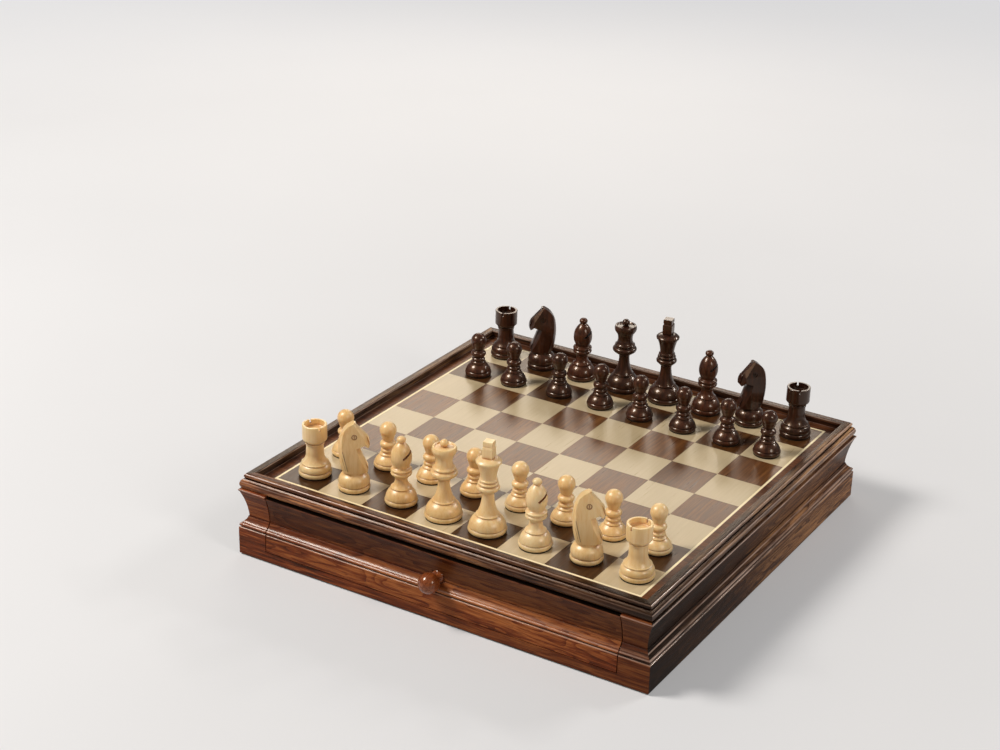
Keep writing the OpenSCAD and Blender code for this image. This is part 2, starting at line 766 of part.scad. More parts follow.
// Side, front and top view carved one into the other, then rounded at the back and the front
module knight_head(k) {
    levels = [10, 32, 39, 46, 60];
    reach = 20;
    difference() {
        intersection() {
            rotate([90, 0, 0])
                translate([0, 0, -reach]) linear_extrude(2 * reach) polygon(knight_outline(k));
            rotate([90, 0, 90])
                translate([0, 0, -reach])
                    linear_extrude(2 * reach)
                        polygon(concat([for (z = levels) [cheek(z), z * k]],
                            [for (i = [4:-1:0]) [-cheek(levels[i]), levels[i] * k]]));
            translate([0, 0, head_z * k]) linear_extrude(knight_h) polygon(head_plan());
            union() {
                turned(neck_bar(k));
                translate([0, -reach, 0]) cube([reach, 2 * reach, knight_h + OVER]);
            }
        }
        for (side = [0, 1])
            mirror([0, side, 0]) {
                edge_bevel([4.2, 38.4 * k], [11.6, 18 * k], 8.2, 2.6, 5);
                edge_bevel([1, 58.6 * k], [9.8, 48.6 * k], 5, 2, 3);
                edge_bevel([9.6, 49.4 * k], [13, 38 * k], 6, 2, 3.4);
            }
    }
}

// Cuts the edge off one side of a knight's head along a line of its outline, down the front.
// The cut takes off the depth inwards at the half thickness t, and ends at t less the width.
module edge_bevel(a, b, t, depth, width) {
    run = b - a;
    cutter = 14;
    translate([a[0], t - width, a[1]])
        rotate([0, -atan2(run[1], run[0]), 0])
            rotate([-atan(depth / width), 0, 0])
                translate([-OVER, 0, 0]) cube([norm(run) + 2 * OVER, cutter, cutter]);
}

// Half the thickness of a knight's head at a height, thick at the neck and thin at the ear
function cheek(z) = knight_t * lookup(z, [[10, 1], [32, 0.97], [39, 0.86], [46, 0.72], [60, 0.4]]);

// A ring cut into the cheek
module knight_eye(k, side) {
    eye_z = 48.2;
    depth = 0.9;
    lean = 8;
    translate([0.3, side * cheek(eye_z), eye_z * k])
        rotate([90 + side * lean, 0, 0]) {
            difference() {
                cylinder(h = 2 * depth, r = 2.3, center = true);
                cylinder(h = 3 * depth, r = 1.4, center = true);
            }
            cube([0.8, 3, 2 * depth], center = true);
        }
}

// Cuts that set the mane off from the neck
module mane_cuts(k, side) {
    cut_w = 0.4;
    lean = -13.5;
    for (i = [0:1])
        translate([-7.2 - 1.5 * i, side * knight_t, (28 - i) * k])
            rotate([0, lean, 0]) cube([cut_w, 3.2, (18 - 2 * i) * k], center = true);
}

module man(kind) {
    if (kind == "pawn") pawn();
    if (kind == "rook") rook();
    if (kind == "knight") knight();
    if (kind == "bishop") bishop();
    if (kind == "queen") queen();
    if (kind == "king") king();
}

// Court man of one side on its square
module court_man(s, i) {
    color(s == 0 ? light_wood : dark_wood)
        translate([square_middle(i) + court_shift[s][i][0],
                (s == 0 ? -1 : 1) * outer_middle + court_shift[s][i][1], board_z])
            rotate(court_turn[s][i]) man(court[i]);
}

module pawn_man(s, i) {
    row = (s == 0 ? -1 : 1) * (2.5 * square - pawn_forward[s]);
    color(s == 0 ? light_wood : dark_wood)
        translate([square_middle(i) + pawn_shift[s][i][0], row + pawn_shift[s][i][1], board_z])
            man("pawn");
}

// ---------------------------------------------------------------- nodes

cap_front();
cap_back();
cap_left();
cap_right();
front_frame();
side_left();
side_right();
side_back();
corner_blocks();
bottom_panel();
base_baize();
runner_left();
runner_right();
board_panel();
board_border();
inlay_line();
light_squares();
dark_squares();
drawer_front();
drawer_side_left();
drawer_side_right();
drawer_back();
drawer_bottom();
drawer_lining();
drawer_divider();
knob();
knob_screw();
for (s = [0:1], i = [0:7]) {
    court_man(s, i);
    pawn_man(s, i);
}
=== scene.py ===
"""Looks of the chess case and its men: materials, softened edges, lights, floor and camera."""
import math

import bpy
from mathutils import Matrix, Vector

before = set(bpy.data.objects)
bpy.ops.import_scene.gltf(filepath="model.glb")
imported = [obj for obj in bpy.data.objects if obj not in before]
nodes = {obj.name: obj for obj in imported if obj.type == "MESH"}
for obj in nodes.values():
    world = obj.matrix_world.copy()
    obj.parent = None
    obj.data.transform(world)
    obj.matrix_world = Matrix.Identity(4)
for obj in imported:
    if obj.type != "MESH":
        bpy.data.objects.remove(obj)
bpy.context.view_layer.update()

# ---------------------------------------------------------------- sizes, in metres

SQUARE = 0.0423
BOARD_Z = 0.0666
FELT_TOP = BOARD_Z + 0.00102  # top of the felt under the men
HALF_WALL = 0.19  # about half the length of a wall
RIM_INSIDE = 0.1796  # the rim's inner faces are nearer to the middle than this

# heights above the table
PLINTH_ARRIS = 0.0252
LIP_ARRIS = 0.0284
SLOPE = 0.0318  # middle of the slope between the lip and the cove
COVE_FOOT = 0.0343
DRAWER_EDGE = 0.05805  # just under the top edge of the drawer front
COVE_HEAD = 0.0584
FILLET = 0.0592
CROWN = 0.073  # the flat top of the rim lies above this
FRONT_RIDGES = (PLINTH_ARRIS, LIP_ARRIS, FILLET)
SIDE_RIDGES = (PLINTH_ARRIS, LIP_ARRIS, SLOPE, FILLET)
CAP_RIDGES = (0.0665, 0.0725)  # the upper curves of the two beads

# length and width of the marks in wood and on it
STREAK = (0.05, 0.0024)
FIBRE = (0.016, 0.0005)
PORE = (0.0075, 0.00036)
CLOUD = (0.3, 0.06)
# patches along the ridges where the painted highlight is stronger
RIDGE_HIGHLIGHT_PATCH = (0.04, 0.02)

# figure of wood
NOISE_RANGE = (0.3, 0.7)  # nearly all of a noise lies between these
RING_COUNT = 11.0  # rings over the whole range of the broad noise
RING_EDGE = 2.5  # how suddenly a ring darkens towards its end
RING_MEAN = 0.28  # mean darkness of a ring, which is taken off again
PORE_RANGE = (0.6, 0.68)  # the noise at which a pore begins, and at which it is full
PORE_SHADE = 0.6  # of the wood's dark tone
FIBRE_HEIGHT = 0.5  # of the depth of a pore
LEAF_SHIFT = 3.0  # every square's figure is taken from another place, this far away at most

# shares of open space over a point, from which hollows are found
DEEP_GROOVE = 0.4
OPEN_FACE = 0.92

# the finish on the case and the light and shade painted on it; a band is full up to one distance
# and ends at the other
HOLLOW_SHADE_REACH = 0.004  # how near another face has to be for painted shade in a hollow
HOLLOW_SHADE_TONE = 0.35  # painted shade in hollows, as a share of the wood's dark tone
CROWN_COAT = 0.25  # share of the coat on the rim's crown and inner faces
# painted shade on the slope
PAINTED_SLOPE_SHADE = 0.72
SLOPE_BAND = (0.002, 0.003)
RIDGE_BAND = (0.0002, 0.0006)
LEAST_RIDGE_HIGHLIGHT = 0.35  # where a ridge's painted highlight is weakest, as a share of the strongest
VENEER_COAT = 0.25

# the men
GROOVE_SHADE_REACH = 0.0035  # how near another face has to be for painted shade in a groove
GROOVE_SHADE_SHARE = 0.75  # share of the painted groove shade's tone in the deepest groove
GLOW_REACH = 0.006  # how far light goes into pale wood
GLOW_SPREAD = (1.0, 0.8, 0.6)  # share of that for red, green and blue

# ---------------------------------------------------------------- colours


def srgb(r, g, b):
    """A colour given as 0 to 255 sRGB, as the linear colour with alpha that a socket takes."""
    out = []
    for value in (r, g, b):
        v = value / 255
        out.append(v / 12.92 if v <= 0.04045 else ((v + 0.055) / 1.055) ** 2.4)
    return (out[0], out[1], out[2], 1.0)


WARM = (1.0, 0.64, 0.4, 1.0)  # sheen of walnut under the finish
VENEER_SHEEN = (1.0, 0.8, 0.64, 1.0)
PALE_SHEEN = (1.0, 0.93, 0.8, 1.0)
# painted shadow: near black, put on the drawer front's top edge where the gap above it lies in
# shade
PAINTED_GAP_SHADOW = srgb(16, 9, 6)
PAINTED_RIDGE_HIGHLIGHT = srgb(208, 176, 158)  # painted highlight along the ridges
# painted shade in the grooves of the light and the dark men
BOXWOOD_HOLLOW_SHADE = srgb(168, 96, 36)
EBONISED_HOLLOW_SHADE = srgb(12, 6, 4)
BAIZE = srgb(24, 62, 40)
DARK_FELT = srgb(26, 24, 22)
STEEL = srgb(200, 198, 190)
FLOOR = srgb(202, 202, 204)
BACKDROP = srgb(250, 250, 252)

# the dark, the middle and the light tone of each wood
WALNUT = (srgb(46, 17, 8), srgb(120, 54, 26), srgb(182, 108, 58))
# walnut with painted shade: darker copies of its tones, for the side walls
SHADED_SIDE_WALNUT = (srgb(26, 14, 9), srgb(64, 39, 25), srgb(126, 90, 60))
# walnut with painted shade: darker copies of its tones, for the back of the rim
SHADED_REAR_WALNUT = (srgb(22, 10, 6), srgb(50, 26, 16), srgb(96, 58, 38))
CAP_WALNUT = (srgb(44, 20, 12), srgb(98, 54, 32), srgb(182, 124, 80))
CAP_SIDE_WALNUT = (srgb(40, 23, 15), srgb(90, 59, 39), srgb(176, 133, 92))
BORDER_WALNUT = (srgb(44, 20, 11), srgb(84, 46, 26), srgb(122, 76, 46))
VENEER = (srgb(54, 27, 10), srgb(93, 55, 24), srgb(130, 87, 46))
MAPLE = (srgb(168, 147, 112), srgb(182, 163, 129), srgb(196, 178, 147))
LINE = (srgb(232, 208, 160), srgb(244, 226, 184), srgb(250, 236, 202))
PALE = (srgb(176, 140, 92), srgb(206, 172, 120), srgb(222, 192, 142))
PLY = (srgb(150, 108, 66), srgb(184, 142, 94), srgb(204, 164, 114))
BOXWOOD = (srgb(220, 170, 104), srgb(237, 198, 138), srgb(245, 217, 168))
EBONISED = (srgb(24, 9, 4), srgb(50, 22, 12), srgb(82, 40, 22))
KNOB = (srgb(84, 36, 16), srgb(126, 62, 28), srgb(168, 92, 46))
TONE_STOPS = (0.3, 0.5, 0.7)  # where the three tones lie in the figure


# ---------------------------------------------------------------- nodes

class Nodes:
    """A node tree, with a short call for each kind of node."""

    def __init__(self, tree):
        self.tree = tree

    def feed(self, socket, value):
        if isinstance(value, bpy.types.NodeSocket):
            self.tree.links.new(value, socket)
        else:
            socket.default_value = value

    def add(self, kind, inputs, **settings):
        made = self.tree.nodes.new(kind)
        for key, value in settings.items():
            setattr(made, key, value)
        for key, value in inputs.items():
            self.feed(made.inputs[key], value)
        return made

    def axes(self, vector):
        return self.add("ShaderNodeSeparateXYZ", {0: vector}).outputs

    def math(self, what, a, b=0.0, c=0.0):
        return self.add("ShaderNodeMath", {0: a, 1: b, 2: c}, operation=what).outputs[0]

    def vectors(self, what, *inputs):
        return self.add("ShaderNodeVectorMath", dict(enumerate(inputs)), operation=what).outputs

    def remap(self, value, low, high, new_low, new_high):
        return self.add("ShaderNodeMapRange", {
            "Value": value, "From Min": low, "From Max": high, "To Min": new_low,
            "To Max": new_high}).outputs[0]

    def camera_sees(self):
        return self.add("ShaderNodeLightPath", {}).outputs["Is Camera Ray"]

    def near(self, value, level, band):
        """1 where a value is within the band's first distance of a level, 0 past its second."""
        off = self.math("ABSOLUTE", self.math("SUBTRACT", value, level))
        return self.remap(off, band[0], band[1], 1, 0)


class Surface(Nodes):
    """The node tree of one material."""

    def __init__(self, name):
        self.material = bpy.data.materials.new(name)
        self.material.use_nodes = True
        super().__init__(self.material.node_tree)
        self.shader = self.tree.nodes["Principled BSDF"]

    def place(self):
        return self.add("ShaderNodeTexCoord", {}).outputs["Object"]

    def stretch(self, vector, scale):
        return self.add("ShaderNodeMapping", {"Vector": vector, "Scale": scale}).outputs[0]

    def grain(self, place, along, marks):
        """Coordinates in which a noise of scale 1 makes marks of this length and width."""
        run, across = marks
        return self.stretch(place, tuple(1 / (run if axis == along else across) for axis in "xyz"))

    def noise(self, vector, scale=1.0, detail=3.0, rough=0.5, bend=0.0):
        return self.add("ShaderNodeTexNoise", {
            "Vector": vector, "Scale": scale, "Detail": detail, "Roughness": rough,
            "Distortion": bend}).outputs[0]

    def spread(self, noise, low, high):
        """A noise brought to another range."""
        return self.remap(noise, NOISE_RANGE[0], NOISE_RANGE[1], low, high)

    def tint(self, colour, shade):
        """The colour made lighter or darker by a number around 1."""
        if not isinstance(colour, bpy.types.NodeSocket):
            colour = colour[:3]
        return self.add("ShaderNodeVectorMath", {0: colour, "Scale": shade},
                        operation="SCALE").outputs[0]

    def tint_where(self, mask, colour, shade):
        """The colour as it is where the mask is 0, lighter or darker where it is 1."""
        return self.tint(colour, self.remap(mask, 0, 1, 1.0, shade))

    def ramp(self, value, stops):
        made = self.add("ShaderNodeValToRGB", {"Fac": value})
        elements = made.color_ramp.elements
        while len(elements) < len(stops):
            elements.new(0.5)
        for element, (position, colour) in zip(elements, stops):
            element.position = position
            element.color = colour
        return made.outputs[0]

    def mix(self, factor, a, b):
        return self.add("ShaderNodeMix", {0: factor, 6: a, 7: b},
                        data_type="RGBA").outputs[2]

    def hollow(self, reach):
        """1 deep in grooves and inner corners, 0 on open faces."""
        open_share = self.add("ShaderNodeAmbientOcclusion", {"Distance": reach},
                              samples=8, only_local=True).outputs["AO"]
        return self.remap(open_share, DEEP_GROOVE, OPEN_FACE, 1.0, 0.0)

    def bump(self, height, depth):
        return self.add("ShaderNodeBump", {"Height": height, "Distance": depth}).outputs[0]

    def finish(self, **sockets):
        for key, value in sockets.items():
            self.feed(self.shader.inputs[key.replace("_", " ")], value)
        return self.material


# ---------------------------------------------------------------- kinds of surface

class Wood:
    """Tones and figure of one kind of wood; lengths in metres, strengths from 0 up."""

    def __init__(self, tones, rings=0.0, ring_width=0.022, ring_run=0.17, streaks=0.5,
                 fibres=0.3, pores=0.4, cloud=0.3):
        self.tones = tones
        self.rings = rings
        self.ring_marks = (ring_run, ring_width)
        self.streaks = streaks
        self.fibres = fibres
        self.pores = pores
        self.cloud = cloud

    def figure(self, g, place, along):
        """Colour, fine streaks and surface height of this wood, its grain along one axis."""
        streaks = g.noise(g.grain(place, along, STREAK), detail=4.0, rough=0.62, bend=0.2)
        fibres = g.noise(g.grain(place, along, FIBRE), detail=3.0, rough=0.6)
        dashes = g.noise(g.grain(place, along, PORE), detail=1.0)
        cloud = g.noise(g.grain(place, along, CLOUD), detail=1.0)
        value = 0.5
        for marks, strength in ((streaks, self.streaks), (fibres, self.fibres),
                                (cloud, self.cloud)):
            value = g.math("MULTIPLY_ADD", g.math("SUBTRACT", marks, 0.5), strength, value)
        if self.rings:
            broad = g.noise(g.grain(place, along, self.ring_marks), detail=2.0, rough=0.42,
                            bend=0.35)
            wave = g.math("FRACT", g.math("MULTIPLY", broad, RING_COUNT))
            line = g.math("SUBTRACT", g.math("POWER", wave, RING_EDGE), RING_MEAN)
            value = g.math("MULTIPLY_ADD", line, -self.rings, value)
        colour = g.ramp(value, list(zip(TONE_STOPS, self.tones)))
        pores = g.remap(dashes, PORE_RANGE[0], PORE_RANGE[1], 0.0, 1.0)
        colour = g.mix(g.math("MULTIPLY", pores, self.pores), colour,
                       g.tint(self.tones[0], PORE_SHADE))
        height = g.math("SUBTRACT", g.math("MULTIPLY", fibres, FIBRE_HEIGHT), pores)
        return colour, streaks, height


def cove_mask(g, up):
    """1 in the cove, fading to 0 over a few millimetres at its foot and its head."""
    over_foot = g.remap(up, COVE_FOOT - 0.001, COVE_FOOT + 0.003, 0, 1)
    under_head = g.remap(up, COVE_HEAD - 0.003, COVE_HEAD, 1, 0)
    return g.math("MULTIPLY", over_foot, under_head)


def crown_mask(g, place):
    """1 on the rim's flat top and on its inner faces, 0 elsewhere."""
    x, y, up = g.axes(place)
    from_middle = g.math("MAXIMUM", g.math("ABSOLUTE", x), g.math("ABSOLUTE", y))
    inside = g.math("LESS_THAN", from_middle, RIM_INSIDE)
    return g.math("MAXIMUM", g.math("GREATER_THAN", up, CROWN), inside)


def ridge_mask(g, place, along, ridges):
    """1 on the ridges where the painted highlight is strongest, less here and there, 0 elsewhere.
    """
    up = g.axes(place)[2]
    ridge = 0.0
    for level in ridges:
        ridge = g.math("MAXIMUM", g.near(up, level, RIDGE_BAND), ridge)
    patchy = g.noise(g.grain(place, along, RIDGE_HIGHLIGHT_PATCH), detail=2.0)
    return g.math("MULTIPLY", ridge, g.remap(patchy, 0.35, 0.6, LEAST_RIDGE_HIGHLIGHT, 1.0))


def lacquered(name, wood, along, shift=(0, 0, 0), rough=(0.28, 0.44), coat=0.03,
              coat_rough=0.15, gloss=0.28, depth=0.00005, painted_hollow_shade=0.0, painted_light_ramp=(1.0, 1.0),
              painted_shadow_above=None, sheen=WARM, ridge_highlight=None, ridges=FRONT_RIDGES, cove_shade=1.0,
              crown_shade=1.0, slope_coat=0.0):
    """Wood under a thin finish, for one direction of grain.

    It is darker in grooves and corners by painted shade, and a painted ramp of light and shade
    runs from one end of the board to the other; its ridges get painted highlights and more coat
    here and there, the cove gets painted shade, the rim's crown and inner faces may get painted
    shade and less coat, the slope may get painted shade and more coat, and an edge above a height
    a painted shadow.
    """
    g = Surface(name)
    place = g.place()
    up = g.axes(place)[2]
    end_to_end = g.axes(place)["xyz".index(along)]
    colour, streaks, height = wood.figure(g, g.vectors("ADD", place, shift)[0], along)
    # painted light and shade: the tone ramps from one end of the wall to the other
    colour = g.tint(colour, g.remap(end_to_end, -HALF_WALL, HALF_WALL, painted_light_ramp[0], painted_light_ramp[1]))
    # painted shade in grooves and inner corners, found by occlusion
    if painted_hollow_shade:
        colour = g.mix(g.math("MULTIPLY", g.hollow(HOLLOW_SHADE_REACH), painted_hollow_shade), colour,
                       g.tint(wood.tones[0], HOLLOW_SHADE_TONE))
    # painted shade in the cove
    if cove_shade != 1.0:
        colour = g.tint_where(cove_mask(g, up), colour, cove_shade)
    # painted shade on the rim's crown and inner faces, with less coat there
    if crown_shade != 1.0:
        darker = crown_mask(g, place)
        colour = g.tint_where(darker, colour, crown_shade)
        coat = g.math("MULTIPLY", g.remap(darker, 0, 1, 1.0, CROWN_COAT), coat)
    # painted shade on the slope, with more coat there
    if slope_coat:
        on_slope = g.near(up, SLOPE, SLOPE_BAND)
        colour = g.tint_where(on_slope, colour, PAINTED_SLOPE_SHADE)
        coat = g.math("MULTIPLY_ADD", on_slope, slope_coat, coat)
    # painted highlight along the ridges, ramped from one end to the other, with more coat there
    if ridge_highlight:
        ridge = g.math("MULTIPLY", ridge_mask(g, place, along, ridges),
                       g.remap(end_to_end, -HALF_WALL, HALF_WALL, ridge_highlight[0], ridge_highlight[1]))
        colour = g.mix(ridge, colour, PAINTED_RIDGE_HIGHLIGHT)
        coat = g.math("ADD", ridge, coat)
    # painted shadow on the drawer front's top edge, above the given height
    if painted_shadow_above:
        colour = g.mix(g.math("GREATER_THAN", up, painted_shadow_above), colour, PAINTED_GAP_SHADOW)
    return g.finish(
        Base_Color=colour, Roughness=g.spread(streaks, rough[0], rough[1]),
        Specular_IOR_Level=gloss, Specular_Tint=sheen, Coat_Weight=coat,
        Coat_Roughness=coat_rough, Normal=g.bump(height, depth))


def veneer_squares(name, wood, variety, painted_first_rows, painted_last_rows, sheen):
    """Squares sawn from different leaves: each has its own figure and tone.

    The first and the last two rows get painted light or shade of their own, and their coat follows
    the same share.
    """
    g = Surface(name)
    place = g.place()
    corner = g.vectors("SNAP", place, (SQUARE, SQUARE, 1.0))[0]
    random = g.add("ShaderNodeTexWhiteNoise", {"Vector": corner}, noise_dimensions="3D")
    shift = g.tint(random.outputs["Color"], LEAF_SHIFT)
    colour, streaks, height = wood.figure(g, g.vectors("ADD", place, shift)[0], "y")
    leaf = g.remap(random.outputs["Value"], 0, 1, 1 - variety, 1 + variety)
    colour = g.tint(colour, leaf)
    # painted light and shade by row: the first and the last two rows are lighter or darker
    lengthwise = g.axes(corner)[1]
    first = g.remap(lengthwise, -3 * SQUARE, -2 * SQUARE, painted_first_rows, 1.0)
    last = g.remap(lengthwise, SQUARE, 2 * SQUARE, 1.0, painted_last_rows)
    painted_row_light_and_coat = g.math("MULTIPLY", first, last)
    return g.finish(
        Base_Color=g.tint(colour, painted_row_light_and_coat), Roughness=g.spread(streaks, 0.27, 0.35),
        Specular_IOR_Level=0.5, Specular_Tint=sheen,
        Coat_Weight=g.math("MULTIPLY", painted_row_light_and_coat, VENEER_COAT), Coat_Roughness=0.3,
        Normal=g.bump(height, 0.00001))


def man_wood(name, wood, hollow_shade, rough, coat, coat_rough, sheen, glow=0.0):
    """Turned wood, its grain upright, with painted shade in the grooves, on a disc of felt.

    The glow is the share of light that goes a few millimetres into pale wood.
    """
    g = Surface(name)
    place = g.place()
    colour, streaks, height = wood.figure(g, place, "z")
    # painted shade in the grooves, found by occlusion
    colour = g.mix(g.math("MULTIPLY", g.hollow(GROOVE_SHADE_REACH), GROOVE_SHADE_SHARE), colour, hollow_shade)
    in_felt = g.math("LESS_THAN", g.axes(place)[2], FELT_TOP)
    nap = g.noise(place, scale=4500, detail=2.0)
    colour = g.mix(in_felt, colour, g.tint(DARK_FELT, g.spread(nap, 0.7, 1.3)))
    roughness = g.math("MAXIMUM", g.math("MULTIPLY", in_felt, 0.95),
                       g.spread(streaks, rough[0], rough[1]))
    gloss = g.math("MULTIPLY", g.math("SUBTRACT", 1.0, in_felt), coat)
    return g.finish(Base_Color=colour, Roughness=roughness, Specular_Tint=sheen,
                    Coat_Weight=gloss, Coat_Roughness=coat_rough,
                    Subsurface_Weight=glow, Subsurface_Radius=GLOW_SPREAD,
                    Subsurface_Scale=GLOW_REACH, Normal=g.bump(height, 0.00002))


def felt(name, colour):
    g = Surface(name)
    place = g.place()
    nap = g.noise(place, scale=2600, detail=4.0, rough=0.7)
    cloud = g.noise(place, scale=45, detail=3.0)
    shade = g.math("MULTIPLY", g.spread(nap, 0.72, 1.28), g.spread(cloud, 0.88, 1.1))
    return g.finish(Base_Color=g.tint(colour, shade), Roughness=0.96, Sheen_Weight=0.5,
                    Sheen_Roughness=0.5, Normal=g.bump(nap, 0.0004))


def brushed(name, colour):
    g = Surface(name)
    lines = g.noise(g.stretch(g.place(), (2200, 300, 2200)), detail=3.0)
    return g.finish(
        Base_Color=g.tint(colour, g.spread(lines, 0.85, 1.1)), Metallic=1.0,
        Roughness=g.spread(lines, 0.22, 0.4), Normal=g.bump(lines, 0.00002))


# ---------------------------------------------------------------- materials

figured = Wood(WALNUT, rings=0.16, ring_width=0.018, ring_run=0.1, streaks=0.6, fibres=0.5,
               pores=0.55, cloud=0.55)
straight = Wood(WALNUT, rings=0.1, ring_width=0.012, ring_run=0.3, streaks=0.75, fibres=0.5,
                pores=0.5, cloud=0.4)
shaded_side = Wood(SHADED_SIDE_WALNUT, rings=0.14, ring_width=0.018, ring_run=0.12, streaks=0.7,
                 fibres=0.5, pores=0.4, cloud=0.6)
streaky = Wood(CAP_WALNUT, streaks=1.1, fibres=0.6, pores=0.45, cloud=0.3)
streaky_side = Wood(CAP_SIDE_WALNUT, streaks=1.0, fibres=0.6, pores=0.45, cloud=0.3)
shaded_rear = Wood(SHADED_REAR_WALNUT, streaks=1.1, fibres=0.6, pores=0.45, cloud=0.3)
border_veneer = Wood(BORDER_WALNUT, streaks=0.8, fibres=0.4, pores=0.4, cloud=0.4)
dark_veneer = Wood(VENEER, rings=0.08, ring_width=0.01, ring_run=0.2, streaks=0.6, fibres=0.4,
                   pores=0.4, cloud=0.2)
light_veneer = Wood(MAPLE, streaks=0.3, fibres=0.12, pores=0.03, cloud=0.2)
boxwood = Wood(BOXWOOD, streaks=0.45, fibres=0.2, pores=0.05, cloud=0.5)
ebonised = Wood(EBONISED, streaks=0.7, fibres=0.3, pores=0.2, cloud=0.5)
line_maple = Wood(LINE, streaks=0.3, fibres=0.1, pores=0.03)
pale = Wood(PALE, rings=0.12, streaks=0.5, fibres=0.3, pores=0.15)
plywood = Wood(PLY, rings=0.3, ring_width=0.05, streaks=0.4, pores=0.2)
knob_grain = Wood(KNOB, streaks=0.6, fibres=0.3, pores=0.25, cloud=0.2)

# the walls and the rim: each gets a painted ramp of light and shade from end to end, painted shade
# in hollows and painted highlights on ridges
drawer_walnut = lacquered("walnut_drawer_front", figured, "x", painted_hollow_shade=0.9,
                          ridge_highlight=(0.4, 0.4), cove_shade=0.4, painted_light_ramp=(0.9, 0.96), slope_coat=0.5,
                          gloss=0.2, painted_shadow_above=DRAWER_EDGE)
walnut_x = lacquered("walnut_front_and_back", straight, "x", shift=(0.4, 0.2, 0.7), painted_hollow_shade=0.9,
                     ridge_highlight=(0.4, 0.4), cove_shade=0.75, painted_light_ramp=(1.1, 0.5), slope_coat=0.6, gloss=0.24)
# the side walls: walnut with painted shade, lighter towards the back by a painted ramp
walnut_y = lacquered("walnut_sides", shaded_side, "y", shift=(0.3, 0.6, 0.1), painted_hollow_shade=0.9,
                     coat=0.0, gloss=0.12, painted_light_ramp=(0.2, 2.6), ridge_highlight=(0.8, 0.7),
                     ridges=SIDE_RIDGES)
# the back of the rim: walnut with painted shade
cap_rear = lacquered("cap_back", shaded_rear, "x", coat=0.2, coat_rough=0.2, painted_hollow_shade=0.9,
                     ridge_highlight=(0.7, 0.7), ridges=CAP_RIDGES)
cap_x = lacquered("cap_front", streaky, "x", rough=(0.24, 0.4), coat=0.2, coat_rough=0.16,
                  gloss=0.22, painted_hollow_shade=0.9, painted_light_ramp=(1.5, 0.1), ridge_highlight=(0.4, 0.08),
                  ridges=CAP_RIDGES, crown_shade=0.5)
cap_y = lacquered("cap_sides", streaky_side, "y", rough=(0.24, 0.4), coat=0.3, coat_rough=0.16,
                  painted_hollow_shade=0.9, painted_light_ramp=(0.5, 1.5), ridge_highlight=(0.75, 0.75), ridges=CAP_RIDGES,
                  crown_shade=0.5)
border = lacquered("walnut_border", border_veneer, "x", rough=(0.36, 0.46), coat=0.1,
                   coat_rough=0.3, gloss=0.35, depth=0.00001)
pale_x = lacquered("pale_wood_across", pale, "x", rough=(0.5, 0.62), coat=0.0)
pale_y = lacquered("pale_wood_lengthwise", pale, "y", rough=(0.5, 0.62), coat=0.0)
pale_z = lacquered("pale_wood_upright", pale, "z", rough=(0.5, 0.62), coat=0.0)
ply = lacquered("plywood", plywood, "x", rough=(0.55, 0.68), coat=0.0)
knob_wood = lacquered("knob_wood", knob_grain, "y", rough=(0.24, 0.32), coat=0.7,
                      coat_rough=0.1, gloss=0.4)
line_wood = lacquered("light_line", line_maple, "x", rough=(0.36, 0.46), coat=0.25,
                      coat_rough=0.3, depth=0.00001, sheen=PALE_SHEEN)
# the board's squares, with painted light and shade on their first and last two rows
light_squares = veneer_squares("light_squares", light_veneer, 0.03, 1.12, 1.05, PALE_SHEEN)
dark_squares = veneer_squares("dark_squares", dark_veneer, 0.16, 0.42, 0.55, VENEER_SHEEN)
# the men, with painted shade in their grooves
light_men = man_wood("light_men", boxwood, BOXWOOD_HOLLOW_SHADE, (0.28, 0.36), 0.6, 0.32, PALE_SHEEN,
                     glow=0.3)
dark_men = man_wood("dark_men", ebonised, EBONISED_HOLLOW_SHADE, (0.3, 0.4), 0.5, 0.08, WARM)
baize = felt("baize", BAIZE)
steel = brushed("steel", STEEL)

# the material of every piece but the men
dressed = {
    "front_frame": walnut_x, "side_back": walnut_x, "drawer_front": drawer_walnut,
    "side_left": walnut_y, "side_right": walnut_y,
    "cap_front": cap_x, "cap_back": cap_rear, "cap_left": cap_y, "cap_right": cap_y,
    "board_border": border, "inlay_line": line_wood,
    "light_squares": light_squares, "dark_squares": dark_squares,
    "corner_blocks": pale_z, "runner_left": pale_y, "runner_right": pale_y,
    "drawer_side_left": pale_y, "drawer_side_right": pale_y, "drawer_back": pale_x,
    "drawer_divider": pale_x, "bottom_panel": ply, "board_panel": ply,
    "drawer_bottom": ply, "base_baize": baize, "drawer_lining": baize,
    "knob": knob_wood, "knob_screw": steel,
}
men = {"light": light_men, "dark": dark_men}


# ---------------------------------------------------------------- edges

# widths in metres, angles in degrees
WELD = 0.00001
PLAIN_EDGE = 0.0005
MAN_EDGE = 0.00014
OWN_EDGE = {"knob": 0.0, "knob_screw": 0.0002, "light_squares": 0.0, "dark_squares": 0.0,
            "inlay_line": 0.0, "board_border": 0.0}
BEVEL_SEGMENTS = 2
BEVEL_ANGLE = 30  # edges sharper than this are rounded
RIDGE_ANGLE = 35  # on mouldings, outer edges sharper than this are rounded
CROSS_SHARE = 0.3  # a moulding's edges across its run get this share of the width
SMOOTH_ANGLE = 28  # edges up to this are shaded smooth

# the axis that each moulding runs along
MOULDED = {"front_frame": "x", "side_back": "x", "side_left": "y", "side_right": "y",
           "drawer_front": "x", "cap_front": "x", "cap_back": "x", "cap_left": "y",
           "cap_right": "y"}


def geometry_tree(name):
    """An empty tree for a modifier, with the sockets for what comes in and what goes out."""
    tree = bpy.data.node_groups.new(name, "GeometryNodeTree")
    for way in ("INPUT", "OUTPUT"):
        tree.interface.new_socket("Geometry", in_out=way, socket_type="NodeSocketGeometry")
    enter = tree.nodes.new("NodeGroupInput")
    leave = tree.nodes.new("NodeGroupOutput")
    return Nodes(tree), enter.outputs[0], leave.inputs[0]


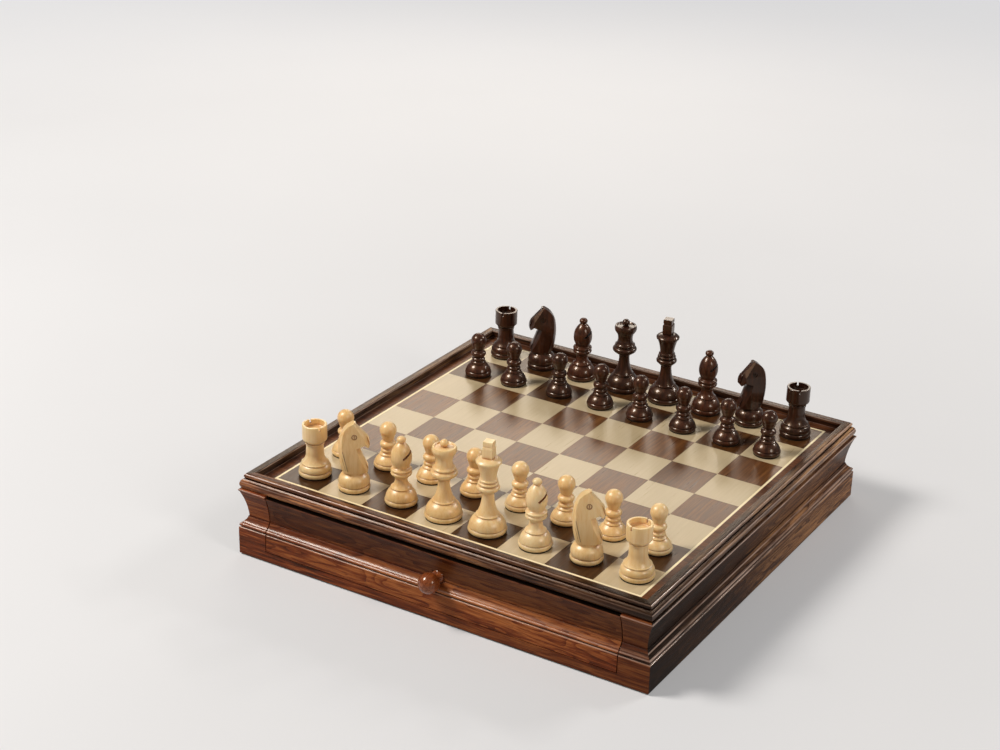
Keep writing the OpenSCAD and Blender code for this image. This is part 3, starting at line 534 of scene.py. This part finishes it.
def smoothing():
    """Nodes that shade a mesh smooth over all edges but the sharp ones."""
    g, enter, leave = geometry_tree("smooth_by_angle")
    angle = g.add("GeometryNodeInputMeshEdgeAngle", {}).outputs[0]
    soft = g.add("FunctionNodeCompare", {0: angle, 1: math.radians(SMOOTH_ANGLE)},
                 operation="LESS_EQUAL").outputs[0]
    faces = g.add("GeometryNodeSetShadeSmooth", {"Geometry": enter}, domain="FACE").outputs[0]
    edges = g.add("GeometryNodeSetShadeSmooth", {"Geometry": faces, "Shade Smooth": soft},
                  domain="EDGE").outputs[0]
    g.feed(leave, edges)
    return g.tree


def ridge_marks(along):
    """Nodes that tell the bevel how round to make each outer edge of a moulding.

    Edges that run along the given axis get the full width, the others a share of it.
    """
    g, enter, leave = geometry_tree("ridges_along_" + along)
    ends = g.add("GeometryNodeInputMeshEdgeVertices", {}).outputs
    edge = g.vectors("SUBTRACT", ends["Position 1"], ends["Position 2"])[0]
    heading = g.vectors("NORMALIZE", edge)[0]
    lengthwise = g.math("ABSOLUTE", g.axes(heading)["xyz".index(along)])
    share = g.remap(lengthwise, 0.98, 0.99, CROSS_SHARE, 1.0)
    angle = g.add("GeometryNodeInputMeshEdgeAngle", {}).outputs["Signed Angle"]
    outer = g.math("GREATER_THAN", angle, math.radians(RIDGE_ANGLE))
    weight = g.math("MULTIPLY", outer, share)
    marked = g.add("GeometryNodeStoreNamedAttribute", {
        "Geometry": enter, "Name": "bevel_weight_edge", "Value": weight},
        data_type="FLOAT", domain="EDGE").outputs[0]
    g.feed(leave, marked)
    return g.tree


smooth_tree = smoothing()
ridge_trees = {axis: ridge_marks(axis) for axis in "xy"}


def soften(obj, width, runs_along=None):
    """Welds a CAD node's mesh, rounds its sharp edges and shades it smooth, flat faces flat."""
    weld = obj.modifiers.new("weld", "WELD")
    weld.merge_threshold = WELD
    if runs_along:
        marks = obj.modifiers.new("ridges", "NODES")
        marks.node_group = ridge_trees[runs_along]
    if width:
        bevel = obj.modifiers.new("edges", "BEVEL")
        bevel.width = width
        bevel.segments = BEVEL_SEGMENTS
        bevel.limit_method = "WEIGHT" if runs_along else "ANGLE"
        bevel.angle_limit = math.radians(BEVEL_ANGLE)
        bevel.use_clamp_overlap = True
    smooth = obj.modifiers.new("smooth", "NODES")
    smooth.node_group = smooth_tree
    weighted = obj.modifiers.new("weighted", "WEIGHTED_NORMAL")
    weighted.keep_sharp = True


def dress(obj, material):
    obj.data.materials.clear()
    obj.data.materials.append(material)
    for face in obj.data.polygons:
        face.material_index = 0


for name, obj in nodes.items():
    if name in dressed:
        dress(obj, dressed[name])
        soften(obj, OWN_EDGE.get(name, PLAIN_EDGE), MOULDED.get(name))
    else:
        dress(obj, men[name.split("_")[0]])
        soften(obj, MAN_EDGE)


# ---------------------------------------------------------------- floor, lights, camera

FLOOR_SIZE = 30.0
FLOOR_DROP = 0.0002  # the floor lies this far under the case
ROOM_COLOUR = (0.98, 0.99, 1.0, 1)
ROOM_LIGHT = 0.16  # strength of the world on the object
ROOM_SEEN = 0.86  # strength of the world as the camera sees it
CASE_MIDDLE = (0, 0, 0.05)

CAMERA_PLACE = (0.73518, -1.30229, 0.81231)
CAMERA_TURN = (65.037, -1.994, 30.428)  # degrees, XYZ
CAMERA_LENS = 71.53
SHIFT_X = -0.06
SHIFT_Y = 0.025


def put(name, data):
    """A new object of the scene."""
    obj = bpy.data.objects.new(name, data)
    bpy.context.scene.collection.objects.link(obj)
    return obj


def make_floor():
    """A pale floor that the camera sees lighter the further it is from the case."""
    g = Surface("floor")
    mottle = g.noise(g.place(), scale=3.0, detail=2.0)
    distance = g.vectors("LENGTH", g.place())["Value"]
    glow = g.math("ADD", g.remap(distance, 0.4, 2.8, 0.15, 0.5),
                  g.remap(distance, 1.3, 3.4, 0.0, 0.27))
    material = g.finish(
        Base_Color=g.tint(FLOOR, g.spread(mottle, 0.985, 1.01)), Roughness=0.75,
        Specular_IOR_Level=0.2, Emission_Color=BACKDROP,
        Emission_Strength=g.math("MULTIPLY", glow, g.camera_sees()))
    half = FLOOR_SIZE / 2
    mesh = bpy.data.meshes.new("floor")
    mesh.from_pydata([(-half, -half, 0), (half, -half, 0), (half, half, 0), (-half, half, 0)],
                     [], [(0, 1, 2, 3)])
    mesh.materials.append(material)
    floor = put("floor", mesh)
    floor.location.z = -FLOOR_DROP


def make_world():
    world = bpy.data.worlds.new("studio")
    bpy.context.scene.world = world
    world.use_nodes = True
    g = Nodes(world.node_tree)
    room = world.node_tree.nodes["Background"]
    g.feed(room.inputs["Strength"], g.remap(g.camera_sees(), 0, 1, ROOM_LIGHT, ROOM_SEEN))
    g.feed(room.inputs["Color"], ROOM_COLOUR)


def make_camera():
    data = bpy.data.cameras.new("camera")
    data.lens = CAMERA_LENS
    data.sensor_width = 36.0
    data.shift_x = SHIFT_X
    data.shift_y = SHIFT_Y
    data.clip_start = 0.05
    data.clip_end = 50
    camera = put("camera", data)
    camera.location = CAMERA_PLACE
    camera.rotation_euler = [math.radians(angle) for angle in CAMERA_TURN]
    bpy.context.scene.camera = camera


def softbox(name, place, target, width, height, watts, colour):
    data = bpy.data.lights.new(name, "AREA")
    data.shape = "RECTANGLE"
    data.size = width
    data.size_y = height
    data.energy = watts
    data.color = colour
    lamp = put(name, data)
    lamp.location = place
    lamp.rotation_euler = (Vector(target) - Vector(place)).to_track_quat("-Z", "Y").to_euler()


make_floor()
make_world()
make_camera()
softbox("key", (-1.3, -0.95, 1.85), CASE_MIDDLE, 0.7, 0.7, 50, (1.0, 0.96, 0.9))
softbox("fill", (1.7, -0.5, 1.1), CASE_MIDDLE, 0.5, 0.5, 9, (1.0, 0.95, 0.88))
softbox("edge", (0.9, 1.3, 1.15), (0.1, 0, 0.05), 0.6, 0.09, 9, (1.0, 0.97, 0.93))
softbox("back", (-0.85, 1.35, 0.8), (-0.1, 0, 0.066), 1.1, 0.3, 5.2, (1.0, 0.9, 0.77))
bpy.context.scene.view_settings.view_transform = "Standard"
